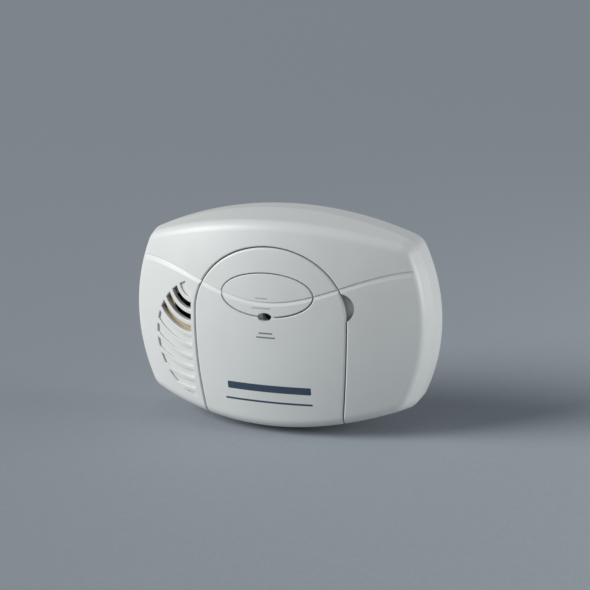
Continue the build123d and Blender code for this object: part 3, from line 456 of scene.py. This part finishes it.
def printed_bar(name, x, z, width, height, under):
    """A bar of ink with rounded corners, in millimetres, laid on the front of this CAD node."""
    start_clean()
    columns = max(4, round(width * MM / GRID_STEP))
    bpy.ops.mesh.primitive_grid_add(x_subdivisions=columns, y_subdivisions=2, size=1,
                                    location=(x * MM, INK_START, z * MM), rotation=(radians(90), 0, 0))
    bar = bpy.context.object
    bar.name = name
    bar.scale = (width * MM, height * MM, 1)
    bake_in(bar)
    bpy.ops.object.mode_set(mode="EDIT")
    bpy.ops.mesh.select_all(action="DESELECT")
    bpy.ops.object.mode_set(mode="OBJECT")
    for vertex in bar.data.vertices:
        across_x = abs(vertex.co.x - x * MM) > NEAR_EDGE * width * MM
        across_z = abs(vertex.co.z - z * MM) > NEAR_EDGE * height * MM
        vertex.select = across_x and across_z
    bpy.ops.object.mode_set(mode="EDIT")
    bpy.ops.mesh.select_mode(type="VERT")
    bpy.ops.mesh.bevel(offset=CORNER_SHARE * min(height * MM, GRID_STEP), segments=4,
                       affect="VERTICES")
    bpy.ops.object.mode_set(mode="OBJECT")
    modify(bar, "SHRINKWRAP", target=NODES[under], wrap_method="PROJECT", use_project_y=True,
           use_positive_direction=True, use_negative_direction=False, wrap_mode="ABOVE_SURFACE",
           offset=INK_THICK / 2)
    modify(bar, "SOLIDIFY", thickness=INK_THICK, offset=0)
    return bar


slate_ink = finish("Pad_printing_ink_slate", "#33465A", "#3A4D60", 0.4, tone_mm=1.5, depth_mm=0.004,
                   IOR=1.5)
grey_ink = finish("Pad_printing_ink_grey", "#7C8389", "#868D92", 0.4, tone_mm=1.5, depth_mm=0.004,
                  IOR=1.5)
pale_ink = finish("Pad_printing_ink_pale", "#B9BCBA", "#C1C4C2", 0.42, tone_mm=1.5, depth_mm=0.004,
                  IOR=1.5)

wide_bar = printed_bar("print_bar", x=3.2, z=-27.2, width=40.0, height=3.4, under="battery_door")
fit(wide_bar, "door", slate_ink)
thin_bar = printed_bar("print_rule", x=2.6, z=-33.8, width=42.0, height=0.9, under="battery_door")
fit(thin_bar, "door", slate_ink)
rules = [printed_bar("upper", x=3.2, z=-1.2, width=6.6, height=0.7, under="battery_door"),
         printed_bar("lower", x=3.2, z=-3.1, width=9.0, height=0.7, under="battery_door")]
fit(joined("legend_rules", rules), "door", grey_ink)
rules = [printed_bar("upper", x=1.1, z=14.4, width=6.0, height=0.7, under="test_button"),
         printed_bar("lower", x=1.1, z=10.0, width=9.0, height=0.7, under="test_button")]
fit(joined("button_rules", rules), "button", pale_ink)

# %% [markdown]
# A real inductor is wound turn by turn, and its bobbin shows the rows of wire. One turn is a torus of
# the wire's thickness. It is copied down the bobbin's window by an Array modifier, and the whole row
# stands for the plain drum in the frame. A bevelled drum inside it closes the gaps between turns.

# %% Coil winding
WIRE = 0.45 * MM
DRUM_INSET = 0.6 * WIRE
DRUM_BEVEL = 0.1 * MM
coil_low, coil_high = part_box("boost_coil_winding")
coil_middle = (coil_low + coil_high) / 2
coil_radius = (coil_high.x - coil_low.x) / 2
rows = int((coil_high.y - coil_low.y) / WIRE)
start_clean()
bpy.ops.mesh.primitive_torus_add(major_radius=coil_radius - WIRE / 2, minor_radius=WIRE / 2,
                                 major_segments=48, minor_segments=10, rotation=(radians(90), 0, 0),
                                 location=(coil_middle.x, coil_low.y + WIRE / 2, coil_middle.z))
winding = bpy.context.object
winding.name = "coil_winding_turns"
bake_in(winding)
modify(winding, "ARRAY", count=rows, use_relative_offset=False, use_constant_offset=True,
       constant_offset_displace=(0, WIRE, 0))
start_clean()
bpy.ops.mesh.primitive_cylinder_add(radius=coil_radius - DRUM_INSET, depth=coil_high.y - coil_low.y,
                                    vertices=48, rotation=(radians(90), 0, 0), location=coil_middle)
drum = bpy.context.object
bake_in(drum)
bpy.ops.object.mode_set(mode="EDIT")
bpy.ops.mesh.select_all(action="SELECT")
bpy.ops.mesh.bevel(offset=DRUM_BEVEL, segments=1)
bpy.ops.object.mode_set(mode="OBJECT")
winding = joined("coil_winding_turns", [winding, drum])
fit(winding, "alarm", copper)
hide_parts("boost_coil_winding")
print(rows, "turns of wire")

# %% [markdown]
# Capacitors, chips and resistors are placed by a machine, so what they carry is placed here by code as
# well. Each group of small parts is one mesh in the frame. Its separate bodies are found by walking
# from corner to corner along the mesh's edges, and each body's box then says where its lid, its
# terminals or its solder belongs.

# %% Find the separate bodies of a node


def bodies_of(name):
    """Boxes (low, high) of the separate solids in a CAD node, sorted by place."""
    mesh = NODES[name].data
    spots = [tuple(round(c, 6) for c in vertex.co) for vertex in mesh.vertices]
    neighbours = {spot: set() for spot in spots}
    for edge in mesh.edges:
        first, second = (spots[index] for index in edge.vertices)
        neighbours[first].add(second)
        neighbours[second].add(first)
    boxes = []
    left = set(spots)
    while left:
        found = set()
        edge_of_search = {next(iter(left))}
        while edge_of_search:
            found |= edge_of_search
            edge_of_search = set().union(*(neighbours[spot] for spot in edge_of_search)) - found
        left -= found
        low = Vector([min(spot[axis] for spot in found) for axis in range(3)])
        high = Vector([max(spot[axis] for spot in found) for axis in range(3)])
        boxes.append((low, high))
    return sorted(boxes, key=lambda box: tuple(box[0]))


cans = bodies_of("electrolytic_capacitors")
chips = bodies_of("chip_resistors") + bodies_of("ceramic_capacitors")
print(len(cans), "capacitor cans and", len(chips), "chips")

# %% [markdown]
# An electrolytic capacitor's sleeve shrinks over its rim and leaves the bare aluminium lid showing.
# The lid is dished and scored with a cross, so that it can vent. A disc makes it: inset twice, with
# the middle pushed in. The scores are two thin crossed bars laid over the dish.

# %% Capacitor lids
aluminium = finish("Drawn_aluminium", "#C9CBCE", "#BCBEC1", 0.3, tone_mm=1.5, grain_mm=0.2,
                   depth_mm=0.004, Metallic=1.0)
LID_THICK = 0.08 * MM
LID_SHARE = 0.84        # lid and rim widths, as shares of the can's radius
RIM_SHARE = 0.12
DISH_SHARE = 0.08
DISH_DEEP = 0.04 * MM
SCORE_SHARE = 0.9
SCORE_WIDE = 0.09
SCORE_THICK = 0.04 * MM
SCORE_BEVEL = 0.012 * MM
lids = []
for low, high in cans:
    middle = (low + high) / 2
    radius = (high.x - low.x) / 2
    start_clean()
    bpy.ops.mesh.primitive_circle_add(vertices=48, radius=LID_SHARE * radius, fill_type="NGON",
                                      rotation=(radians(90), 0, 0),
                                      location=(middle.x, low.y - LID_THICK / 2, middle.z))
    lid = bpy.context.object
    bake_in(lid)
    bpy.ops.object.mode_set(mode="EDIT")
    bpy.ops.mesh.select_all(action="SELECT")
    bpy.ops.mesh.inset(thickness=RIM_SHARE * radius, depth=0)
    bpy.ops.mesh.inset(thickness=DISH_SHARE * radius, depth=-DISH_DEEP)
    bpy.ops.object.mode_set(mode="OBJECT")
    modify(lid, "SOLIDIFY", thickness=LID_THICK, offset=0)
    lids.append(lid)
    for turn in (0, pi / 2):
        start_clean()
        bpy.ops.mesh.primitive_cube_add(size=1, rotation=(0, turn, 0),
                                        location=(middle.x, low.y - LID_THICK, middle.z))
        score = bpy.context.object
        score.scale = (SCORE_SHARE * radius, SCORE_THICK, SCORE_WIDE * radius)
        bake_in(score)
        bpy.ops.object.mode_set(mode="EDIT")
        bpy.ops.mesh.bevel(offset=SCORE_BEVEL, segments=1)
        bpy.ops.object.mode_set(mode="OBJECT")
        lids.append(score)
fit(joined("capacitor_lids", lids), "alarm", aluminium)

# %% [markdown]
# Chip resistors and capacitors end in tinned terminals that wrap round the body. One terminal is a
# cube a little larger than the chip's end, with its edges bevelled. Two are made for each chip.

# %% Chip terminals
SKIN = 0.03 * MM
TERMINAL = 0.24         # a terminal's length, as a share of the chip's
TERMINAL_BEVEL = 0.06 * MM
terminals = []
for low, high in chips:
    size = high - low
    middle = (low + high) / 2
    for side in (-1, 1):
        start_clean()
        shift = side * (0.5 - TERMINAL / 2) * size.x
        bpy.ops.mesh.primitive_cube_add(size=1, location=(middle.x + shift, middle.y, middle.z))
        terminal = bpy.context.object
        terminal.scale = (TERMINAL * size.x + 2 * SKIN, size.y + 2 * SKIN, size.z + 2 * SKIN)
        bake_in(terminal)
        bpy.ops.object.mode_set(mode="EDIT")
        bpy.ops.mesh.bevel(offset=TERMINAL_BEVEL, segments=2)
        bpy.ops.object.mode_set(mode="OBJECT")
        terminals.append(terminal)
fit(joined("chip_terminals", terminals), "alarm", tin)

# %% [markdown]
# Solder climbs a lead in a hollow cone. A filled circle on the board is extruded three times, and each
# ring is drawn in more steeply than the last, which gives that curve. The sensor's pins have a cone on
# the back of the board, and the battery's two contact strips have one on the front.

# %% Solder cones
solder = finish("Reflowed_solder", "#BFC1C4", "#A5A8AC", 0.22, tone_mm=0.8, grain_mm=0.2, Metallic=1.0)
board_low, board_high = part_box("main_circuit_board")
CLIMB = ((0.62, 0.2 * MM), (0.7, 0.25 * MM), (0.8, 0.35 * MM))
PIN_CONE_R = 1.2 * MM
STRIP_CONE_R = 1.7 * MM
HALF_STRIP = 0.2 * MM


def solder_cone(x, y, z, radius, outwards):
    """A hollow cone of solder standing on the board; outwards is +1 at its back and -1 at its front."""
    start_clean()
    bpy.ops.mesh.primitive_circle_add(vertices=24, radius=radius, fill_type="NGON",
                                      rotation=(radians(90), 0, 0), location=(x, y, z))
    cone = bpy.context.object
    bake_in(cone)
    bpy.ops.object.mode_set(mode="EDIT")
    bpy.ops.mesh.select_all(action="SELECT")
    for narrower, higher in CLIMB:
        bpy.ops.mesh.extrude_region_move(TRANSFORM_OT_translate={"value": (0, outwards * higher, 0)})
        bpy.ops.transform.resize(value=(narrower, 1, narrower))
    bpy.ops.object.mode_set(mode="OBJECT")
    return cone


cones = []
for low, high in bodies_of("gas_sensor_pins"):
    middle = (low + high) / 2
    cones.append(solder_cone(middle.x, board_high.y, middle.z, PIN_CONE_R, 1))
for name in ("positive_contact", "negative_contact"):
    low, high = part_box(name)
    middle_z = (low.z + high.z) / 2
    cones.append(solder_cone(high.x - HALF_STRIP, board_low.y, middle_z, STRIP_CONE_R, -1))
fit(joined("solder_cones", cones), "alarm", solder)

# %% [markdown]
# A chip's package has a moulded dot beside its first lead. The dot is a shallow dish: a filled circle,
# inset and pushed in, with the rim left a hair proud.

# %% First-lead dots
DOT_R = 0.45 * MM
DOT_INSET = 1.0 * MM
DOT_PROUD = 0.02 * MM
DOT_RIM = 0.1 * MM
dots = []
for name in ("microcontroller", "horn_driver"):
    low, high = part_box(name)
    start_clean()
    corner = (low.x + DOT_INSET, low.y - DOT_PROUD, low.z + DOT_INSET)
    bpy.ops.mesh.primitive_circle_add(vertices=24, radius=DOT_R, fill_type="NGON",
                                      rotation=(radians(90), 0, 0), location=corner)
    dot = bpy.context.object
    bake_in(dot)
    bpy.ops.object.mode_set(mode="EDIT")
    bpy.ops.mesh.select_all(action="SELECT")
    bpy.ops.mesh.inset(thickness=DOT_RIM, depth=-DOT_PROUD)
    bpy.ops.object.mode_set(mode="OBJECT")
    modify(dot, "SOLIDIFY", thickness=DOT_PROUD, offset=0)
    dots.append(dot)
polished_epoxy = finish("Epoxy_moulding_compound_polished", "#2C2C2F", "#333337", 0.25, tone_mm=1.0,
                        depth_mm=0.002, IOR=1.55)
fit(joined("first_lead_dots", dots), "alarm", polished_epoxy)

# %% [markdown]
# Where the mould's pins pushed the door out, its inner face has small round marks. Each is a circle
# filled with a fan of triangles, pressed onto the inner face from behind and given a little thickness.

# %% Ejector marks inside the door
MARK_R = 2.2 * MM
MARK_THICK = 0.1 * MM
MARK_COLUMNS = (JACKET_LOW.x + 9 * MM, (JACKET_LOW.x + JACKET_HIGH.x) / 2, JACKET_HIGH.x - 3 * MM)
MARK_ROWS = (JACKET_LOW.z + 7 * MM, JACKET_HIGH.z + 1 * MM)
marks = []
for x in MARK_COLUMNS:
    for z in MARK_ROWS:
        start_clean()
        bpy.ops.mesh.primitive_circle_add(vertices=32, radius=MARK_R, fill_type="TRIFAN",
                                          rotation=(radians(90), 0, 0), location=(x, 0, z))
        mark = bpy.context.object
        bake_in(mark)
        modify(mark, "SHRINKWRAP", target=NODES["battery_door"], wrap_method="PROJECT",
               use_project_y=True, use_positive_direction=False, use_negative_direction=True)
        modify(mark, "SOLIDIFY", thickness=MARK_THICK, offset=0)
        marks.append(mark)
fit(joined("ejector_marks", marks), "door", shell_abs)

# %% [markdown]
# The battery's maker prints a plus and a minus beside the two snaps, the only marks that a user needs.
# Both are bars with bevelled edges, laid flat on the jacket's front in a dark lacquer ink.

# %% Polarity marks on the battery
SIGN = 4.0 * MM
STROKE = 0.8 * MM
STROKE_BEVEL = 0.01 * MM
sign_y = JACKET_LOW.y - INK_THICK / 2
sign_x = (BAND_START + JACKET_HIGH.x) / 2
signs = []


def stroke(width, height, z):
    """One flat bar of a printed sign, centred at this height on the jacket's band."""
    start_clean()
    bpy.ops.mesh.primitive_cube_add(size=1, location=(sign_x, sign_y, z))
    bar = bpy.context.object
    bar.scale = (width, INK_THICK, height)
    bake_in(bar)
    bpy.ops.object.mode_set(mode="EDIT")
    bpy.ops.mesh.bevel(offset=STROKE_BEVEL, segments=1)
    bpy.ops.object.mode_set(mode="OBJECT")
    return bar


for name in ("battery_positive_snap", "battery_negative_snap"):
    low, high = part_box(name)
    height = (low.z + high.z) / 2
    signs.append(stroke(SIGN, STROKE, height))
    if name == "battery_positive_snap":
        signs.append(stroke(STROKE, SIGN, height))
dark_ink = finish("Lacquer_ink_dark", "#232E38", "#2A3640", 0.35, tone_mm=1.5, depth_mm=0.003, IOR=1.5)
fit(joined("polarity_marks", signs), "alarm", dark_ink)

# %% [markdown]
# The label on the back carries a printed frame with ruled lines. The frame is a plane, inset, with its
# middle deleted. The rules are thin planes cut into short cells. All of them get the ink's thickness.

# %% Frame and rules on the rear label
label_low, label_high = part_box("rear_label")
label_middle = (label_low + label_high) / 2
LABEL_INK = 0.02 * MM
LABEL_MARGIN = 5 * MM
BORDER_WIDE = 0.4 * MM
RULE_TALL = 0.5 * MM
RULE_WIDTHS = (28 * MM, 34 * MM, 28 * MM, 34 * MM, 28 * MM)
RULE_TOP = 8 * MM
RULE_PITCH = 4 * MM
label_y = label_high.y + LABEL_INK / 2
start_clean()
bpy.ops.mesh.primitive_plane_add(size=1, rotation=(radians(90), 0, 0),
                                 location=(label_middle.x, label_y, label_middle.z))
border = bpy.context.object
border.scale = (label_high.x - label_low.x - LABEL_MARGIN,
                label_high.z - label_low.z - LABEL_MARGIN, 1)
bake_in(border)
bpy.ops.object.mode_set(mode="EDIT")
bpy.ops.mesh.select_all(action="SELECT")
bpy.ops.mesh.inset(thickness=BORDER_WIDE)
bpy.ops.mesh.delete(type="FACE")
bpy.ops.object.mode_set(mode="OBJECT")
printed = [border]
for row, width in enumerate(RULE_WIDTHS):
    start_clean()
    height = label_middle.z + RULE_TOP - RULE_PITCH * row
    bpy.ops.mesh.primitive_grid_add(x_subdivisions=8, y_subdivisions=1, size=1,
                                    rotation=(radians(90), 0, 0),
                                    location=(label_middle.x, label_y, height))
    rule = bpy.context.object
    rule.scale = (width, RULE_TALL, 1)
    bake_in(rule)
    printed.append(rule)
label_print = joined("label_print", printed)
modify(label_print, "SOLIDIFY", thickness=LABEL_INK, offset=0)
fit(label_print, "alarm", grey_ink)

# %% [markdown]
# The alarm stands on its curved lower edge on a wide pale table. The table is matt laminate: a fine
# even mottle, nothing that draws the eye. It is wide enough that the camera, which looks down on it,
# sees no far edge.

# %% Table
FLOOR_SIZE = 40.0
start_clean()
bpy.ops.mesh.primitive_plane_add(size=FLOOR_SIZE, location=(0, 0, CAD_BOX[0][2]))
table = bpy.context.object
table.name = "table"
bake_in(table)
laminate = finish("Matt_grey_laminate", "#A0A7AE", "#959CA3", 0.75, tone_mm=1.6, grain_mm=0.9,
                  depth_mm=0.05, IOR=1.45)
dress(laminate, table)

# %% [markdown]
# The light is a soft studio set. The key is a distant soft source, low and well to the left, so that
# it rakes across the bowed face and lets it darken towards the right. It is a sun lamp with a very
# wide disc: an area lamp would do the same to the alarm, but only a distant lamp keeps the far table as
# bright as the near one. A small box stands low on the right, a little behind, and brings back the
# rounded edge of the case. The world adds a weak cool fill, so that shadows do not go black.

# %% Lights
KEY_SIDE = radians(-58)
KEY_HEIGHT = radians(29)
KEY_DISC = radians(34)
KEY_STRENGTH = 3.1
KEY_DISTANCE = 2.0      # where its marker stands; a sun lamp lights the same from any distance
RIM_SIDE = radians(100)
RIM_HEIGHT = radians(8)
RIM_DISTANCE = 0.7
RIM_WATTS = 2.3
RIM_BOX = (0.35, 0.24)
WORLD_STRENGTH = 0.33

world = bpy.data.worlds.new("studio")
world.use_nodes = True
world.node_tree.nodes["Background"].inputs["Color"].default_value = linear("#A9B2BC")
world.node_tree.nodes["Background"].inputs["Strength"].default_value = WORLD_STRENGTH
bpy.context.scene.world = world
bpy.context.scene.view_settings.view_transform = "Standard"


def lamp(name, kind, side, height, distance, colour):
    """A lamp at this bearing and height as seen from the alarm, turned to face it."""
    towards = Vector((sin(side) * cos(height), -cos(side) * cos(height), sin(height)))
    start_clean()
    bpy.ops.object.light_add(type=kind, location=AIM + towards * distance)
    light = bpy.context.object
    light.name = name
    light.rotation_euler = (-towards).to_track_quat("-Z", "Y").to_euler()
    light.data.color = linear(colour)[:3]
    return light.data


key = lamp("key", "SUN", KEY_SIDE, KEY_HEIGHT, KEY_DISTANCE, "#FFFFFF")
key.angle = KEY_DISC
key.energy = KEY_STRENGTH
rim = lamp("rim", "AREA", RIM_SIDE, RIM_HEIGHT, RIM_DISTANCE, "#FFFFFF")
rim.shape = "RECTANGLE"
rim.size, rim.size_y = RIM_BOX
rim.energy = RIM_WATTS
print("table at", round(CAD_BOX[0][2], 4), "m,", len(bpy.data.lights), "lamps")
